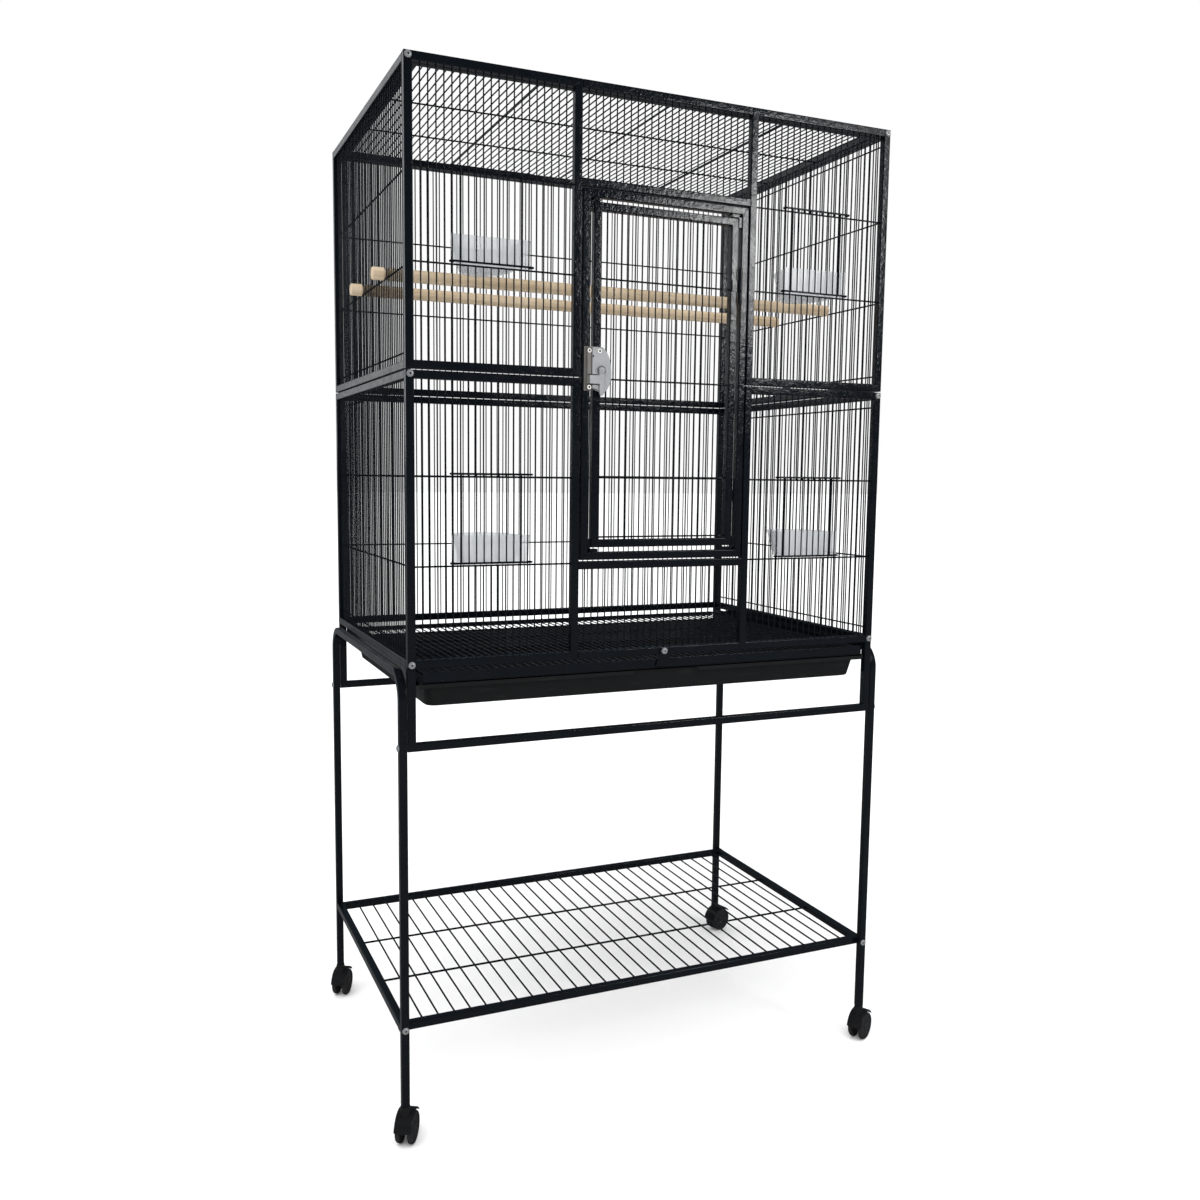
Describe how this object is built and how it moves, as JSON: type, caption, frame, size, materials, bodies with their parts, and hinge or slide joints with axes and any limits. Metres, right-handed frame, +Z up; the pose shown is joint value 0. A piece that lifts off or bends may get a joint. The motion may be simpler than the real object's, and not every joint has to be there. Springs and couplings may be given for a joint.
{
  "type": "bird cage on stand",
  "caption": "Wire flight cage with hinged latched door, feeder doors with cups, perches, slide-out grille and tray, on a wheeled stand with a shelf.",
  "frame": {"origin": "on the floor, midway between the four legs", "axes": "+Z up, -Y towards the front with the door, +X to the right seen from the front"},
  "size_m": [0.8832, 0.5773, 1.575],
  "materials": {
    "frame": "black powder coat, satin",
    "zinc": "zinc plated",
    "cup": "clear moulded plastic, lightly hazed",
    "wood": "plain turned softwood",
    "tray": "black moulded plastic",
    "wheel": "black nylon",
    "housing": "black nylon hood"
  },
  "bodies": {
    "cage_and_stand": {"back_crossbar": "frame", "back_lower_panel": "frame", "back_upper_panel": "frame", "door_surround": "frame", "front_crossbar": "frame", "front_header": "frame", "front_lower_left_bay": "frame", "front_lower_right_bay": "frame", "front_perch": "wood", "front_sill": "frame", "front_upper_left_bay": "frame", "front_upper_right_bay": "frame", "latch_keeper": "zinc", "left_arch": "frame", "left_lower_panel": "frame", "left_runner": "frame", "left_upper_panel": "frame", "leg_bolt_left": "zinc", "leg_bolt_right": "zinc", "lower_hinge_frame_leaf": "frame", "rear_perch": "wood", "right_arch": "frame", "right_lower_panel": "frame", "right_runner": "frame", "right_upper_panel": "frame", "screw_bottom_left": "zinc", "screw_bottom_right": "zinc", "screw_middle_left": "zinc", "screw_middle_right": "zinc", "screw_top_left": "zinc", "screw_top_right": "zinc", "shelf": "frame", "top_panel": "frame", "upper_hinge_frame_leaf": "frame"},
    "door": {"door": "frame", "upper_hinge_door_leaf": "frame", "lower_hinge_door_leaf": "frame", "latch_plate": "zinc"},
    "latch_lever": {"latch_lever": "zinc"},
    "feeder_door_upper_left": {"feeder_door_upper_left": "frame"},
    "cup_upper_left": {"cup_upper_left": "cup"},
    "feeder_door_upper_right": {"feeder_door_upper_right": "frame"},
    "cup_upper_right": {"cup_upper_right": "cup"},
    "feeder_door_lower_left": {"feeder_door_lower_left": "frame"},
    "cup_lower_left": {"cup_lower_left": "cup"},
    "feeder_door_lower_right": {"feeder_door_lower_right": "frame"},
    "cup_lower_right": {"cup_lower_right": "cup"},
    "grille": {"grille": "frame", "grille_tab": "frame", "grille_tab_screw": "zinc"},
    "tray": {"tray": "tray"},
    "caster_front_left_housing": {"caster_front_left_housing": "housing"},
    "caster_front_left_wheels": {"caster_front_left_wheels": "wheel"},
    "caster_front_right_housing": {"caster_front_right_housing": "housing"},
    "caster_front_right_wheels": {"caster_front_right_wheels": "wheel"},
    "caster_back_left_housing": {"caster_back_left_housing": "housing"},
    "caster_back_left_wheels": {"caster_back_left_wheels": "wheel"},
    "caster_back_right_housing": {"caster_back_right_housing": "housing"},
    "caster_back_right_wheels": {"caster_back_right_wheels": "wheel"}
  },
  "joints": [
    {"name": "door_hinge", "type": "hinge", "parent": "cage_and_stand", "child": "door", "pos_m": [0.1255, -0.2695, 1.1385], "axis": [0, 0, 1], "range_deg": [0, 160]},
    {"name": "latch_turn", "type": "hinge", "parent": "door", "child": "latch_lever", "pos_m": [-0.112, -0.2665, 1.16], "axis": [0, 1, 0], "range_deg": [0, 90]},
    {"name": "feeder_door_upper_left_lift", "type": "slide", "parent": "cage_and_stand", "child": "feeder_door_upper_left", "axis": [0, 0, 1], "range_m": [0, 0.115]},
    {"name": "cup_upper_left_lift", "type": "slide", "parent": "cage_and_stand", "child": "cup_upper_left", "axis": [0, 0, 1], "range_m": [0, 0.04]},
    {"name": "feeder_door_upper_right_lift", "type": "slide", "parent": "cage_and_stand", "child": "feeder_door_upper_right", "axis": [0, 0, 1], "range_m": [0, 0.115]},
    {"name": "cup_upper_right_lift", "type": "slide", "parent": "cage_and_stand", "child": "cup_upper_right", "axis": [0, 0, 1], "range_m": [0, 0.04]},
    {"name": "feeder_door_lower_left_lift", "type": "slide", "parent": "cage_and_stand", "child": "feeder_door_lower_left", "axis": [0, 0, 1], "range_m": [0, 0.115]},
    {"name": "cup_lower_left_lift", "type": "slide", "parent": "cage_and_stand", "child": "cup_lower_left", "axis": [0, 0, 1], "range_m": [0, 0.04]},
    {"name": "feeder_door_lower_right_lift", "type": "slide", "parent": "cage_and_stand", "child": "feeder_door_lower_right", "axis": [0, 0, 1], "range_m": [0, 0.115]},
    {"name": "cup_lower_right_lift", "type": "slide", "parent": "cage_and_stand", "child": "cup_lower_right", "axis": [0, 0, 1], "range_m": [0, 0.04]},
    {"name": "grille_pull", "type": "slide", "parent": "cage_and_stand", "child": "grille", "axis": [0, -1, 0], "range_m": [0, 0.4]},
    {"name": "tray_pull", "type": "slide", "parent": "cage_and_stand", "child": "tray", "axis": [0, -1, 0], "range_m": [0, 0.4]},
    {"name": "caster_front_left_swivel", "type": "hinge", "parent": "cage_and_stand", "child": "caster_front_left_housing", "pos_m": [-0.4135, -0.2595, 0.06], "axis": [0, 0, 1], "continuous": true},
    {"name": "caster_front_left_roll", "type": "hinge", "parent": "caster_front_left_housing", "child": "caster_front_left_wheels", "pos_m": [-0.409, -0.25171, 0.0235], "axis": [-0.866, 0.5, 0], "continuous": true},
    {"name": "caster_front_right_swivel", "type": "hinge", "parent": "cage_and_stand", "child": "caster_front_right_housing", "pos_m": [0.4135, -0.2595, 0.06], "axis": [0, 0, 1], "continuous": true},
    {"name": "caster_front_right_roll", "type": "hinge", "parent": "caster_front_right_housing", "child": "caster_front_right_wheels", "pos_m": [0.42129, -0.255, 0.0235], "axis": [-0.5, 0.866, 0], "continuous": true},
    {"name": "caster_back_left_swivel", "type": "hinge", "parent": "cage_and_stand", "child": "caster_back_left_housing", "pos_m": [-0.4135, 0.2595, 0.06], "axis": [0, 0, 1], "continuous": true},
    {"name": "caster_back_left_roll", "type": "hinge", "parent": "caster_back_left_housing", "child": "caster_back_left_wheels", "pos_m": [-0.409, 0.26729, 0.0235], "axis": [-0.866, 0.5, 0], "continuous": true},
    {"name": "caster_back_right_swivel", "type": "hinge", "parent": "cage_and_stand", "child": "caster_back_right_housing", "pos_m": [0.4135, 0.2595, 0.06], "axis": [0, 0, 1], "continuous": true},
    {"name": "caster_back_right_roll", "type": "hinge", "parent": "caster_back_right_housing", "child": "caster_back_right_wheels", "pos_m": [0.42219, 0.26183, 0.0235], "axis": [-0.2588, 0.9659, 0], "continuous": true}
  ]
}
